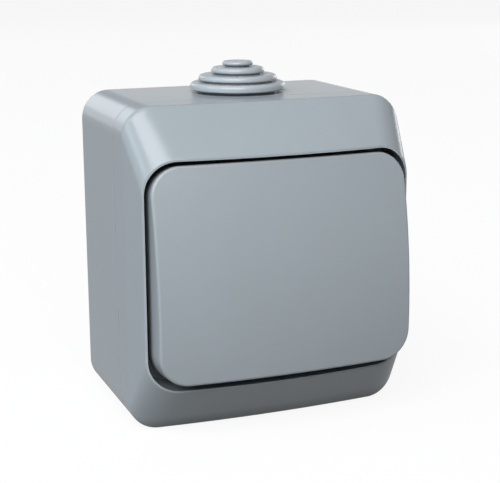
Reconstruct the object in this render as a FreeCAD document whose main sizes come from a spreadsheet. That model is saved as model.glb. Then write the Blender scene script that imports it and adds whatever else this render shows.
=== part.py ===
import FreeCAD, Part
import math
import os
import re
import Sketcher

# Surface-mounted weatherproof rocker switch, modelled in its own frame in millimetres.
# Origin: centre of the back face on the wall. X right, Z up, the front faces -Y.
# "Depth" below is the distance in front of the wall, so a point at depth d has Y = -d.

os.makedirs("parts", exist_ok=True)
doc = FreeCAD.newDocument("weatherproof_switch")
Vector = FreeCAD.Vector

# How near two lengths count as the same
near = 1e-3

# Edge numbers of the two end circles of a round bar; edge 1 is the seam between them
start_circle = 2
end_circle = 3

# Driving dimensions
sizes = {
    # outer form of box and cover
    "plate_width": 74.0,
    "plate_height": 82.0,
    "corner_radius": 7.4,
    "box_depth": 31.0,
    "seam_gap": 0.3,
    "shoulder_rise": 8.0,
    "shoulder_crown": 2.0,
    "slope_rise": 9.5,
    "rim_crown": 3.3,
    "shoulder_round": 1.6,
    "rim_land": 0.5,
    "rim_round": 0.45,
    "back_round": 0.5,
    # opening and well of the cover
    "side_margin": 2.3,
    "top_margin": 12.05,
    "bottom_margin": 12.92,
    "opening_radius": 8.0,
    "well_wall": 1.8,
    "floor_rise": 8.8,
    "floor_thickness": 1.8,
    # walls and the sealed joint
    "wall": 2.2,
    "back_wall": 2.5,
    "tongue_thickness": 1.5,
    "tongue_rise": 2.6,
    "rim_ring_depth": 0.9,
    "seal_thickness": 1.8,
    "ledge_thickness": 1.5,
    "fit_gap": 0.3,
    # rocker
    "pivot_rise": 12.7,
    "rest_tilt": 6.0,
    "rocker_side_gap": 1.2,
    "rocker_end_gap": 0.89,
    "rocker_edge_rise": 10.5,
    "rocker_radius": 7.5,
    "rocker_skin": 2.2,
    "rocker_depth": 13.5,
    "rocker_edge_round": 0.7,
    "crown_tall_radius": 139.0,
    "crown_wide_radius": 220.0,
    "rocker_rib": 1.4,
    "rib_across": 8.0,
    "rib_up": 9.0,
    "clip_width": 8.0,
    "clip_reach": 1.2,
    "crown_angle": 40.0,
    # cable entry
    "entry_setback": 12.8,
    "entry_across": 0.75,
    "entry_radius": 10.6,
    "ring_one_radius": 12.5,
    "ring_two_radius": 10.3,
    "ring_three_radius": 6.95,
    "ring_four_radius": 4.0,
    "ring_step": 1.93,
    "ring_gap": 0.7,
    "top_ring_height": 1.5,
    "ring_skin": 1.0,
    "ring_round": 1.0,
    "top_ring_round": 0.6,
    "ring_round_low": 0.4,
    "groove_height": 0.4,
    "groove_depth": 0.7,
    "flange_radius": 11.7,
    "flange_thickness": 1.4,
    # fixings
    "cover_screw_shift": 1.1,
    "cover_boss_radius": 4.6,
    "screw_radius": 1.75,
    "screw_head_radius": 3.3,
    "screw_head_height": 2.2,
    "screw_length": 14.0,
    "screw_clearance": 0.12,
    "driver_slot": 0.9,
    "post_radius": 3.4,
    "post_inset": 5.0,
    "post_gap": 1.6,
    "wall_slot_spacing": 60.0,
    "wall_slot_width": 4.4,
    "wall_slot_length": 8.0,
    "knockout_radius": 9.0,
    "knockout_up": 14.0,
    "knockout_groove": 0.8,
    # mechanism
    "frame_drop": 1.0,
    "frame_thickness": 1.5,
    "base_width": 38.0,
    "base_height": 44.0,
    "base_thickness": 20.0,
    "bearing_thickness": 2.4,
    "snap_mouth": 3.4,
    "collar_wall": 1.6,
    "plunger_hole_radius": 5.0,
    "hook_reach": 9.0,
    "hook_width": 8.0,
    "hook_thickness": 1.2,
    "hook_depth": 0.8,
    "bearing_radius": 3.8,
    "trunnion_radius": 2.0,
    "running_gap": 0.05,
    "cradle_width": 21.0,
    "cradle_height": 16.4,
    "cradle_drop": 10.7,
    "cradle_top_rise": 2.6,
    "cradle_wing": 30.0,
    "cradle_wing_thickness": 2.0,
    "cradle_wall": 1.4,
    "aperture_gap": 1.6,
    "aperture_bend": 1.2,
    "lip_seal_thickness": 1.6,
    "spring_bore_radius": 2.4,
    "spring_wire": 0.5,
    "plunger_reach": 17.2,
    "plunger_travel": 0.3,
    "plunger_length": 10.0,
    "plunger_skin": 0.6,
    "nose_radius": 1.3,
    "nose_round": 0.9,
    "nose_length": 2.0,
    "spring_turns": 6.0,
    "bore_roof": 4.3,
    # contacts and terminals
    "fulcrum_radius": 1.0,
    "bridge_sleeve": 0.9,
    "bridge_thickness": 1.0,
    "bridge_width": 5.0,
    "bridge_height": 20.0,
    "bridge_tilt": 9.5,
    "contact_spacing": 16.0,
    "contact_radius": 1.5,
    "contact_tip": 0.7,
    "contact_gap": 0.15,
    "strip_thickness": 0.8,
    "strip_width": 5.0,
    "clamp_size": 7.0,
    "clamp_height": 8.0,
    "terminal_inset": 4.8,
    "clamp_wall": 1.2,
    "terminal_margin": 6.0,
    "terminal_screw_radius": 1.6,
    "terminal_head_radius": 2.4,
    "terminal_head_height": 1.8,
    "earth_size": 8.0,
    "earth_height": 9.0,
    "earth_wire_radius": 1.9,
    "earth_wire_rise": 5.6,
    "earth_shift": 0.1,
    "earth_drop": 21.8,
}

sheet = doc.addObject("Spreadsheet::Sheet", "sizes")
for row, (alias, number) in enumerate(sizes.items(), 1):
    sheet.set(f"A{row}", alias)
    sheet.set(f"B{row}", str(number))
    sheet.setAlias(f"B{row}", alias)

# Places worked out from the driving dimensions, mostly depths in front of the wall
places = {
    "box_inner_width": "plate_width - 2 * wall",
    "box_inner_height": "plate_height - 2 * wall",
    "inner_radius": "corner_radius - wall",
    "entry_depth": "box_depth - entry_setback",
    "opening_width": "plate_width - 2 * side_margin",
    "opening_height": "plate_height - top_margin - bottom_margin",
    "opening_up": "(bottom_margin - top_margin) / 2",
    "cover_back": "box_depth + seam_gap",
    "shoulder_depth": "box_depth + shoulder_rise",
    "rim_depth": "shoulder_depth + slope_rise",
    "floor_front": "box_depth + floor_rise",
    "floor_back": "floor_front - floor_thickness",
    "tongue_top": "box_depth + tongue_rise",
    "ledge_back": "tongue_top + seal_thickness",
    "ledge_front": "ledge_back + ledge_thickness",
    "tongue_width": "box_inner_width - 2 * fit_gap",
    "tongue_height": "box_inner_height - 2 * fit_gap",
    "tongue_radius": "inner_radius - fit_gap",
    "pivot_depth": "box_depth + pivot_rise",
    "rocker_width": "opening_width - 2 * rocker_side_gap",
    "rocker_half": "(opening_height / 2 - rocker_end_gap"
                   " - rocker_edge_rise * sin(rest_tilt * 1 deg)) / cos(rest_tilt * 1 deg)",
    "rocker_height": "2 * rocker_half",
    "rocker_front": "pivot_depth + rocker_edge_rise + crown_tall_radius"
                    " - sqrt(crown_tall_radius ^ 2 - rocker_half ^ 2)",
    "rocker_back": "rocker_front - rocker_depth",
    "pivot_up": "opening_up",
    "frame_back": "box_depth - frame_drop",
    "frame_front": "frame_back + frame_thickness",
    "base_back": "frame_back - base_thickness",
    "cover_screw_at": "(base_width + box_inner_width) / 4 + cover_screw_shift",
    "post_spacing_wide": "base_width - 2 * post_inset",
    "post_spacing_tall": "base_height + 2 * (post_radius + post_gap)",
    "screw_seat": "floor_front - screw_head_height - fit_gap",
    "cover_boss_back": "cover_back + fit_gap",
    "wing_front": "pivot_depth + cradle_top_rise",
    "wing_back": "wing_front - cradle_wing_thickness",
    "cradle_back": "pivot_depth - cradle_drop",
    "bearing_inside": "cradle_width / 2 + fit_gap",
    "bearing_outside": "bearing_inside + bearing_thickness",
    "aperture_half_width": "bearing_outside + fit_gap",
    "aperture_half_height": "cradle_height / 2 + aperture_gap",
    "seal_back": "floor_back - lip_seal_thickness",
    "plunger_back": "pivot_depth - plunger_reach",
    "plunger_front": "plunger_back + plunger_length",
    "spring_end": "wing_front - bore_roof",
    "bridge_depth": "pivot_depth - plunger_reach - fulcrum_radius - bridge_sleeve - 2 * fit_gap",
    "contact_at": "contact_spacing / 2",
    "moving_tip_back": "bridge_depth - (bridge_thickness / 2 + contact_tip) * cos(bridge_tilt * 1 deg)"
                       " - (contact_at + contact_radius) * sin(bridge_tilt * 1 deg)",
    "fixed_tip_front": "moving_tip_back - contact_gap",
    "strip_front": "fixed_tip_front - contact_tip",
    "strip_back": "strip_front - strip_thickness",
    "terminal_at": "base_height / 2 - terminal_inset",
    "terminal_spacing": "base_width / 2 - terminal_margin",
    "earth_across": "(base_width + box_inner_width) / 4 + earth_shift",
    "earth_up": "box_inner_height / 2 - earth_drop",
    "clamp_front": "strip_front + clamp_wall + strip_thickness",
    "clamp_back": "clamp_front - clamp_height",
    "sleeve_radius": "fulcrum_radius + bridge_sleeve",
    "cavity_half": "bridge_height / 2 + 3 * fit_gap",
}


def name_cells(text):
    def full_name(match):
        word = match.group(0)
        if word in sizes:
            return "sizes." + word
        return "places." + word if word in places else word
    return re.sub(r"[a-z][a-z_]*[a-z]", full_name, text)


place_sheet = doc.addObject("Spreadsheet::Sheet", "places")
for row, (alias, formula) in enumerate(places.items(), 1):
    place_sheet.set(f"A{row}", alias)
    place_sheet.setAlias(f"B{row}", alias)
    place_sheet.set(f"B{row}", "=" + name_cells(formula).replace("places.", ""))
sum_sheet = doc.addObject("Spreadsheet::Sheet", "sums")
doc.recompute()


def size(alias):
    return float(sheet.get(alias) if alias in sizes else place_sheet.get(alias))


def number(text):
    """Value of a sum of named cells, worked out in a cell that nothing else uses."""
    sum_sheet.set("A1", "=" + name_cells(str(text)))
    sum_sheet.recompute()
    return float(sum_sheet.get("A1"))


def bind(item, **properties):
    """Binds properties to sums of named cells; a double underscore stands for a dot."""
    for name, text in properties.items():
        item.setExpression(name.replace("__", "."), name_cells(str(text)))
    return item


# Simple solids between named planes. depth runs forwards from the wall, to the viewer.

def block(name, left, right, back, front, low, high):
    solid = doc.addObject("Part::Box", name)
    return bind(solid, Length=f"({right}) - ({left})", Width=f"({front}) - ({back})",
                Height=f"({high}) - ({low})", Placement__Base__x=left,
                Placement__Base__y=f"-({front})", Placement__Base__z=low)


def rod(name, way, radius, start, end, first, second):
    """Round bar from start to end along its way: 'x', 'depth' or 'z'; first, second: its centre."""
    solid = doc.addObject("Part::Cylinder", name)
    turn = {"x": FreeCAD.Rotation(Vector(0, 1, 0), 90),
            "depth": FreeCAD.Rotation(Vector(1, 0, 0), 90),
            "z": FreeCAD.Rotation()}[way]
    solid.Placement = FreeCAD.Placement(Vector(), turn)
    base = {"x": (start, f"-({first})", second),
            "depth": (first, f"-({start})", second),
            "z": (first, f"-({second})", start)}[way]
    return bind(solid, Radius=radius, Height=f"({end}) - ({start})", Placement__Base__x=base[0],
                Placement__Base__y=base[1], Placement__Base__z=base[2])


def fuse(name, *solids):
    joined = doc.addObject("Part::MultiFuse", name)
    joined.Shapes = list(solids)
    joined.Refine = True
    return joined


def cut(name, base, *tools):
    left_over = doc.addObject("Part::Cut", name)
    left_over.Base = base
    left_over.Tool = tools[0] if len(tools) == 1 else fuse(name + "_tools", *tools)
    left_over.Refine = True
    return left_over


def group(name, *solids):
    together = doc.addObject("Part::Compound", name)
    together.Links = list(solids)
    return together


# Sketched bodies. A sketch on the front plane has its second axis up and its normal forwards.

def new_body(name):
    body = doc.addObject("PartDesign::Body", name)
    body.Label = name
    return body


def new_sketch(body, name, role, across="0", up="0", out="0"):
    plane = next(item for item in body.Origin.OriginFeatures if item.Role == role)
    sketch = body.newObject("Sketcher::SketchObject", name)
    sketch.AttachmentSupport = [(plane, "")]
    sketch.MapMode = "FlatFace"
    return bind(sketch, AttachmentOffset__Base__x=across, AttachmentOffset__Base__y=up,
                AttachmentOffset__Base__z=out)


def dimension(sketch, name, text, *constraint):
    index = sketch.addConstraint(Sketcher.Constraint(*constraint))
    sketch.renameConstraint(index, name)
    sketch.setExpression("Constraints." + name, name_cells(str(text)))


def add_circle(sketch, radius, tag=""):
    """Circle about the sketch's origin."""
    start = number(radius)
    index = sketch.addGeometry(Part.Circle(Vector(), Vector(0, 0, 1), start))
    sketch.addConstraint(Sketcher.Constraint("Coincident", index, 3, -1, 1))
    dimension(sketch, "radius" + tag, radius, "Radius", index, start)


def add_outline(sketch, width, height, radius, tag=""):
    """Rounded rectangle about the sketch's origin: four sides, each followed by its corner arc."""
    half_x, half_y, bend = number(f"({width}) / 2"), number(f"({height}) / 2"), number(radius)
    corners = [(1, -1, -90), (1, 1, 0), (-1, 1, 90), (-1, -1, 180)]
    sides = []
    arcs = []
    for side, (sign_x, sign_y, angle) in enumerate(corners):
        centre = Vector(sign_x * (half_x - bend), sign_y * (half_y - bend), 0)
        before = Vector(math.cos(math.radians(angle)), math.sin(math.radians(angle)), 0) * bend
        last_x, last_y, last_angle = corners[side - 1]
        last = Vector(last_x * (half_x - bend), last_y * (half_y - bend), 0)
        sides.append(sketch.addGeometry(Part.LineSegment(last + before, centre + before)))
        turn = Part.Circle(centre, Vector(0, 0, 1), bend)
        arcs.append(sketch.addGeometry(Part.ArcOfCircle(
            turn, math.radians(angle), math.radians(angle + 90))))
    for side in range(4):
        sketch.addConstraint(Sketcher.Constraint("Tangent", sides[side], 2, arcs[side], 1))
        sketch.addConstraint(Sketcher.Constraint("Tangent", arcs[side], 2, sides[(side + 1) % 4], 1))
        sketch.addConstraint(Sketcher.Constraint("Vertical" if side % 2 else "Horizontal", sides[side]))
        if side:
            sketch.addConstraint(Sketcher.Constraint("Equal", arcs[0], arcs[side]))
    sketch.addConstraint(Sketcher.Constraint("Symmetric", arcs[0], 3, arcs[2], 3, -1, 1))
    dimension(sketch, "bend" + tag, radius, "Radius", arcs[0], bend)
    dimension(sketch, "wide" + tag, f"{width} - 2 * ({radius})",
              "DistanceX", arcs[2], 3, arcs[1], 3, 2 * (half_x - bend))
    dimension(sketch, "tall" + tag, f"{height} - 2 * ({radius})",
              "DistanceY", arcs[0], 3, arcs[1], 3, 2 * (half_y - bend))


def add_slot(sketch, length, width):
    """Upright slot about the sketch's origin: two end arcs joined by two sides."""
    reach, bend = number(f"({length} - {width}) / 2"), number(f"({width}) / 2")
    up, side = Vector(0, reach, 0), Vector(bend, 0, 0)
    top = sketch.addGeometry(Part.ArcOfCircle(Part.Circle(up, Vector(0, 0, 1), bend), 0, math.pi))
    bottom = sketch.addGeometry(Part.ArcOfCircle(
        Part.Circle(up * -1, Vector(0, 0, 1), bend), math.pi, 2 * math.pi))
    left = sketch.addGeometry(Part.LineSegment(up - side, (up + side) * -1))
    right = sketch.addGeometry(Part.LineSegment(side - up, side + up))
    for first, second in ((top, left), (left, bottom), (bottom, right), (right, top)):
        sketch.addConstraint(Sketcher.Constraint("Tangent", first, 2, second, 1))
    sketch.addConstraint(Sketcher.Constraint("Symmetric", top, 3, bottom, 3, -1, 1))
    sketch.addConstraint(Sketcher.Constraint("Vertical", left))
    dimension(sketch, "bend", f"({width}) / 2", "Radius", top, bend)
    dimension(sketch, "reach", f"({length}) - ({width})", "DistanceY", bottom, 3, top, 3, 2 * reach)


def add_pad(body, name, sketch, length):
    pad = body.newObject("PartDesign::Pad", name)
    pad.Profile = sketch
    return bind(pad, Length=length)


def add_pocket(body, name, sketch, length, along_normal=True):
    """Cuts along the sketch's normal, which is forwards on the front plane, or else against it."""
    pocket = body.newObject("PartDesign::Pocket", name)
    pocket.Profile = sketch
    pocket.Reversed = along_normal
    return bind(pocket, Length=length)


def front_outline(body, name, back, *outlines, up="0"):
    """Sketch on the front plane at a depth, holding one or two rounded rectangles."""
    sketch = new_sketch(body, name, "XZ_Plane", up=up, out=back)
    for place, outline in enumerate(outlines):
        add_outline(sketch, *outline, tag=str(place))
    return sketch


def front_circle(body, name, back, across, up, radius, inner_radius=None):
    sketch = new_sketch(body, name, "XZ_Plane", across, up, back)
    add_circle(sketch, radius)
    if inner_radius is not None:
        add_circle(sketch, inner_radius, "inner")
    return sketch


def tilt(item, depth, angle, up="0"):
    """Turns a finished piece about the sideways axis at this depth, and then lifts it.

    The top goes in if the angle is negative."""
    turn = f"create(<<rotation>>; create(<<vector>>; 1; 0; 0); ({angle}))"
    shift = (f"create(<<vector>>; 0; -({depth}) * (1 - cos(({angle}) * 1 deg));"
             f" ({up}) + ({depth}) * sin(({angle}) * 1 deg))")
    item.setExpression("Placement", name_cells(f"create(<<placement>>; {shift}; {turn})"))
    return item


def edges_at(shape, test):
    """Numbers and edges whose points all pass the test."""
    picked = []
    for place, edge in enumerate(shape.Edges, 1):
        points = [edge.valueAt(t) for t in (edge.FirstParameter, edge.LastParameter,
                                            (edge.FirstParameter + edge.LastParameter) / 2)]
        if all(test(point) for point in points):
            picked.append((place, edge))
    return picked


# The cover's crowned form: straight walls up to a shoulder that bows forwards in plan, then
# four slopes drawn in to the opening's edge, which bows forwards more. The form is the solid
# between two outlines that each lie on an upright cylinder.

def crowned_prism(width, height, bend, back, side_depth, crown, up=0.0):
    """Rounded prism from a flat back to a front that bows by crown, and that front face."""
    low = Vector(-width / 2, -back, up - height / 2)
    outline = Part.makeBox(width, 4 * side_depth, height, low - Vector(0, 4 * side_depth, 0))
    upright = [edge for edge in outline.Edges
               if edge.Vertexes[0].X == edge.Vertexes[1].X and edge.Vertexes[0].Z == edge.Vertexes[1].Z]
    outline = outline.makeFillet(bend, upright)
    bow = ((width / 2) ** 2 + crown ** 2) / (2 * crown)
    axis = Vector(0, -(side_depth + crown - bow), -height)
    solid = outline.common(Part.makeCylinder(bow, 2 * height, axis))
    front = max((face for face in solid.Faces if abs(getattr(face.Surface, "Radius", 0) - bow) < near),
                key=lambda face: face.Area)
    return solid, front


def outline_curves(face):
    """The eight curves of a rounded outline, in order of their direction from its middle."""
    box = face.BoundBox
    start = -math.pi / 8

    def direction(edge):
        middle = edge.valueAt((edge.FirstParameter + edge.LastParameter) / 2)
        across, up = middle.x / box.XLength, (middle.z - box.Center.z) / box.ZLength
        return (math.atan2(up, across) - start) % (2 * math.pi)
    return [edge.Curve.toBSpline(edge.FirstParameter, edge.LastParameter)
            for edge in sorted(face.OuterWire.Edges, key=direction)]


def ruled_face(low, high):
    start = low.value(low.FirstParameter)
    if start.distanceToPoint(high.value(high.FirstParameter)) \
            > start.distanceToPoint(high.value(high.LastParameter)):
        high.reverse()
    return Part.makeRuledSurface(low.toShape(), high.toShape())


def crowned_form(outer, back, shoulder, opening, rim, up):
    """outer, opening: (width, height, bend); shoulder, rim: (depth at the sides, crown).

    The opening's middle lies up above the middle of the outer outline."""
    walls, shoulder_face = crowned_prism(*outer, back, *shoulder)
    rim_face = crowned_prism(*opening, back, *rim, up)[1]
    slopes = [ruled_face(low, high)
              for low, high in zip(outline_curves(shoulder_face), outline_curves(rim_face))]
    skin = Part.makeShell(slopes + [shoulder_face, rim_face])
    skin.sewShape()
    slope = Part.makeSolid(skin)
    if slope.Volume < 0:
        slope.reverse()
    return walls.fuse(slope).removeSplitter()


# Front cover
def cover_outer_form():
    land = 2 * size("rim_land")
    form = crowned_form(
        (size("plate_width"), size("plate_height"), size("corner_radius")), size("cover_back"),
        (size("shoulder_depth"), size("shoulder_crown")),
        (size("opening_width") + land, size("opening_height") + land,
         size("opening_radius") + size("rim_land")),
        (size("rim_depth"), size("rim_crown")), size("opening_up"))
    shoulder_front = size("shoulder_depth") + size("shoulder_crown")
    rim_edges = edges_at(form, lambda point: -point.y > size("rim_depth") - near)
    form = form.makeFillet(size("rim_round"), [edge for place, edge in rim_edges])
    shoulder_edges = edges_at(form, lambda point: size("shoulder_depth") - near < -point.y
                              < shoulder_front + near)
    return form.makeFillet(size("shoulder_round"), [edge for place, edge in shoulder_edges])


def cover_inner_form():
    """The outer form drawn in by one wall, for the hollow behind the top and bottom slopes."""
    wall = size("wall")
    run = size("plate_height") / 2 - size("opening_height") / 2 - size("rim_land")
    slant = math.atan2(run, size("slope_rise"))
    back_step = wall * math.tan(slant / 2)
    rim_step = wall / math.sin(slant)
    return crowned_form(
        (size("box_inner_width"), size("box_inner_height"), size("inner_radius")), size("floor_back"),
        (size("shoulder_depth") - back_step, size("shoulder_crown")),
        (size("opening_width") - 2 * wall, size("opening_height"), size("opening_radius") - wall),
        (size("rim_depth") - rim_step, size("rim_crown")), size("opening_up"))


outer_form = doc.addObject("Part::Feature", "cover_outer_form")
outer_form.Shape = cover_outer_form()
inner_form = doc.addObject("Part::Feature", "cover_inner_form")
inner_form.Shape = cover_inner_form()
well_block = block("cover_well_block", "-plate_width", "plate_width", "cover_back", "rim_depth * 2",
                   "opening_up - opening_height / 2 - well_wall",
                   "opening_up + opening_height / 2 + well_wall")
slope_hollow = cut("cover_slope_hollow", inner_form, well_block)
cover_blank = cut("cover_blank", outer_form, slope_hollow)

front_cover = new_body("front_cover")
front_cover.BaseFeature = cover_blank
doc.recompute()
add_pocket(front_cover, "cover_hollow", front_outline(
    front_cover, "cover_hollow_outline", "cover_back",
    ("box_inner_width", "box_inner_height", "inner_radius")), "floor_back - cover_back")
add_pocket(front_cover, "cover_well", front_outline(
    front_cover, "cover_well_outline", "floor_front",
    ("opening_width", "opening_height", "opening_radius"), up="opening_up"), "rim_depth")
add_pad(front_cover, "seal_ledge", front_outline(
    front_cover, "seal_ledge_outline", "ledge_back",
    ("box_inner_width + wall", "box_inner_height + wall", "inner_radius + wall / 2"),
    ("tongue_width - 2 * tongue_thickness", "tongue_height - 2 * tongue_thickness",
     "tongue_radius - tongue_thickness")), "ledge_thickness")
add_pocket(front_cover, "cradle_aperture", front_outline(
    front_cover, "cradle_aperture_outline", "floor_back",
    ("2 * aperture_half_width", "2 * aperture_half_height", "aperture_bend"), up="pivot_up"),
    "2 * floor_thickness")
for side, sign in (("left", "-"), ("right", "")):
    across = sign + "cover_screw_at"
    add_pad(front_cover, f"cover_boss_{side}", front_circle(
        front_cover, f"cover_boss_{side}_outline", "cover_boss_back", across, "0",
        "cover_boss_radius"), "floor_front - fit_gap - cover_boss_back")
    add_pocket(front_cover, f"screw_hole_{side}", front_circle(
        front_cover, f"screw_hole_{side}_outline", "cover_boss_back", across, "0",
        "screw_radius + screw_clearance"), "rim_depth")
    add_pocket(front_cover, f"head_recess_{side}", front_circle(
        front_cover, f"head_recess_{side}_outline", "screw_seat", across, "0",
        "screw_head_radius + fit_gap"), "rim_depth")


# Rear box
rear_box = new_body("rear_box")
add_pad(rear_box, "box_block", front_outline(
    rear_box, "box_outline", "0", ("plate_width", "plate_height", "corner_radius")), "box_depth")
add_pocket(rear_box, "box_hollow", front_outline(
    rear_box, "box_hollow_outline", "back_wall",
    ("box_inner_width", "box_inner_height", "inner_radius")), "box_depth")
add_pad(rear_box, "rim_ring", front_outline(
    rear_box, "rim_ring_outline", "box_depth - rim_ring_depth",
    ("box_inner_width + wall", "box_inner_height + wall", "inner_radius + wall / 2"),
    ("tongue_width - 2 * tongue_thickness", "tongue_height - 2 * tongue_thickness",
     "tongue_radius - tongue_thickness")), "rim_ring_depth")
add_pad(rear_box, "tongue", front_outline(
    rear_box, "tongue_outline", "box_depth - rim_ring_depth",
    ("tongue_width", "tongue_height", "tongue_radius"),
    ("tongue_width - 2 * tongue_thickness", "tongue_height - 2 * tongue_thickness",
     "tongue_radius - tongue_thickness")), "rim_ring_depth + tongue_rise")

screw_hole = "screw_radius + screw_clearance"
posts = []
for name, sign in (("left", "-"), ("right", "")):
    posts.append((f"cover_post_{name}", sign + "cover_screw_at", "0", "cover_boss_radius", "box_depth"))
for name, sign_x, sign_z in (("top_left", "-", ""), ("top_right", "", ""),
                             ("low_left", "-", "-"), ("low_right", "", "-")):
    posts.append((f"frame_post_{name}", sign_x + "post_spacing_wide / 2",
                  sign_z + "post_spacing_tall / 2", "post_radius", "frame_back"))
for name, across, up, radius, front in posts:
    add_pad(rear_box, name, front_circle(
        rear_box, name + "_outline", "back_wall / 2", across, up, radius), f"{front} - back_wall / 2")
    add_pocket(rear_box, name + "_hole", front_circle(
        rear_box, name + "_hole_outline", f"{front} - screw_length", across, up, screw_hole),
        "screw_length * 2")

earth_room = "earth_size + 2 * screw_clearance"
earth_frame = new_sketch(rear_box, "earth_frame_outline", "XZ_Plane", "-earth_across", "earth_up",
                         "back_wall / 2")
add_outline(earth_frame, f"{earth_room} + wall", f"{earth_room} + wall", "wall / 2 + fit_gap", "outer")
add_outline(earth_frame, earth_room, earth_room, "fit_gap", "inner")
add_pad(rear_box, "earth_frame", earth_frame, "earth_height / 2 + back_wall / 2")

for name, sign in (("top", ""), ("low", "-")):
    slot = new_sketch(rear_box, f"wall_slot_{name}_outline", "XZ_Plane", "0",
                      sign + "wall_slot_spacing / 2")
    add_slot(slot, "wall_slot_length", "wall_slot_width")
    add_pocket(rear_box, f"wall_slot_{name}", slot, "back_wall * 2")
add_pocket(rear_box, "back_knockout", front_circle(
    rear_box, "back_knockout_outline", "0", "0", "knockout_up", "knockout_radius",
    "knockout_radius - knockout_groove"), "knockout_groove")

entry = new_sketch(rear_box, "cable_entry_outline", "XY_Plane", "entry_across", "-entry_depth",
                   "plate_height / 2")
add_circle(entry, "entry_radius")
add_pocket(rear_box, "cable_entry", entry, "wall * 2", along_normal=False)
low_entry = new_sketch(rear_box, "low_knockout_outline", "XY_Plane", "0", "-entry_depth",
                       "-plate_height / 2")
add_circle(low_entry, "entry_radius")
add_circle(low_entry, "entry_radius - knockout_groove", "inner")
add_pocket(rear_box, "low_knockout", low_entry, "knockout_groove")
doc.recompute()
back_edges = edges_at(rear_box.Shape, lambda point: abs(point.y) < near
                      and max(abs(point.x) - size("plate_width") / 2,
                              abs(point.z) - size("plate_height") / 2) > -size("corner_radius") / 2
                      and abs(point.x) + abs(point.z) > size("plate_width") / 2)
box_features = rear_box.Tip
back_round = rear_box.newObject("PartDesign::Fillet", "back_round")
back_round.Base = (box_features, [f"Edge{place}" for place, edge in back_edges])
bind(back_round, Radius="back_round")

# Seal between the box's tongue and the cover's ledge
cover_seal = new_body("cover_seal")
add_pad(cover_seal, "seal_ring", front_outline(
    cover_seal, "seal_outline", "tongue_top",
    ("tongue_width", "tongue_height", "tongue_radius"),
    ("tongue_width - 2 * tongue_thickness", "tongue_height - 2 * tongue_thickness",
     "tongue_radius - tongue_thickness")), "seal_thickness")


# Stepped cable entry grommet, revolved about the upright axis of the entry
def disc(name, radius, low, high, round_top=0.0, round_low=0.0):
    solid = rod(name, "z", radius, low, high, "entry_across", "entry_depth")
    if not round_top:
        return solid
    soft = doc.addObject("Part::Fillet", name + "_soft")
    soft.Base = solid
    soft.Edges = [(end_circle, round_top, round_top), (start_circle, round_low, round_low)]
    return soft


ring_low = "plate_height / 2 + ring_gap"
under_flange = "plate_height / 2 - wall - 2 * flange_thickness"
grommet_solids = [
    disc("grommet_neck", "entry_radius - screw_clearance", "plate_height / 2 - wall", ring_low),
    disc("grommet_flange", "flange_radius", "plate_height / 2 - wall - flange_thickness",
         "plate_height / 2 - wall")]
grommet_hollows = []
for place, word in enumerate(["one", "two", "three", "four"]):
    low = groove_low = f"{ring_low} + {place} * ring_step"
    high = f"{low} + " + ("top_ring_height" if word == "four" else "ring_step")
    if word != "one":
        low = f"{groove_low} + groove_height"
        grommet_solids.append(disc("grommet_groove_" + word, f"ring_{word}_radius - groove_depth",
                                   groove_low, low))
    grommet_solids.append(disc("grommet_ring_" + word, f"ring_{word}_radius", low, high,
                               size("top_ring_round" if word == "four" else "ring_round"),
                               size("ring_round_low")))
    if word != "one":
        grommet_hollows.append(disc("grommet_hollow_" + word,
                                    f"ring_{word}_radius - ring_skin - ring_round / 2",
                                    under_flange, f"{high} - ring_skin"))
grommet = cut("cable_entry_grommet", fuse("grommet_solid", *grommet_solids), *grommet_hollows)


# Screws, all turned about their length: head, slot and shank with a pointed end
def slotted_screw(name, across, up, seat, radius, head_radius, head_height, length):
    head = rod(name + "_head", "depth", head_radius, seat, f"{seat} + {head_height}", across, up)
    shank = rod(name + "_shank", "depth", radius, f"{seat} - ({length})", seat, across, up)
    slot = block(name + "_slot", f"{across} - 2 * ({head_radius})", f"{across} + 2 * ({head_radius})",
                 f"{seat} + {head_height} / 2", f"{seat} + 2 * {head_height}",
                 f"{up} - driver_slot / 2", f"{up} + driver_slot / 2")
    return cut(name, fuse(name + "_solid", head, shank), slot)


cover_screws = group("cover_screws", *[
    slotted_screw("cover_screw_" + name, sign + "cover_screw_at", "0", "screw_seat", "screw_radius",
                  "screw_head_radius", "screw_head_height", "screw_length")
    for name, sign in (("left", "-"), ("right", ""))])
mechanism_screws = group("mechanism_screws", *[
    slotted_screw("mechanism_screw_" + name, sign + "post_spacing_wide / 2",
                  sign + "post_spacing_tall / 2", "frame_front", "screw_radius",
                  "post_radius - fit_gap", "screw_head_height", "screw_length - frame_thickness")
    for name, sign in (("low_left", "-"), ("top_right", ""))])


# Mechanism base: an insulating block with a well for the contacts and pockets for the terminals
channel_half = "(strip_width / 2 + fit_gap)"
pocket_half = "(clamp_size / 2 + fit_gap)"
pocket_low = "terminal_at - clamp_size / 2 - fit_gap"
terminals = [("common", "terminal_spacing", ""), ("upper", "0", ""), ("lower", "0", "-")]


def from_middle(sign, inner_end, outer_end):
    """Low and high ends of a stretch on the upper side, or its mirror image on the lower side."""
    return (inner_end, outer_end) if not sign else (f"-({outer_end})", f"-({inner_end})")


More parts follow.
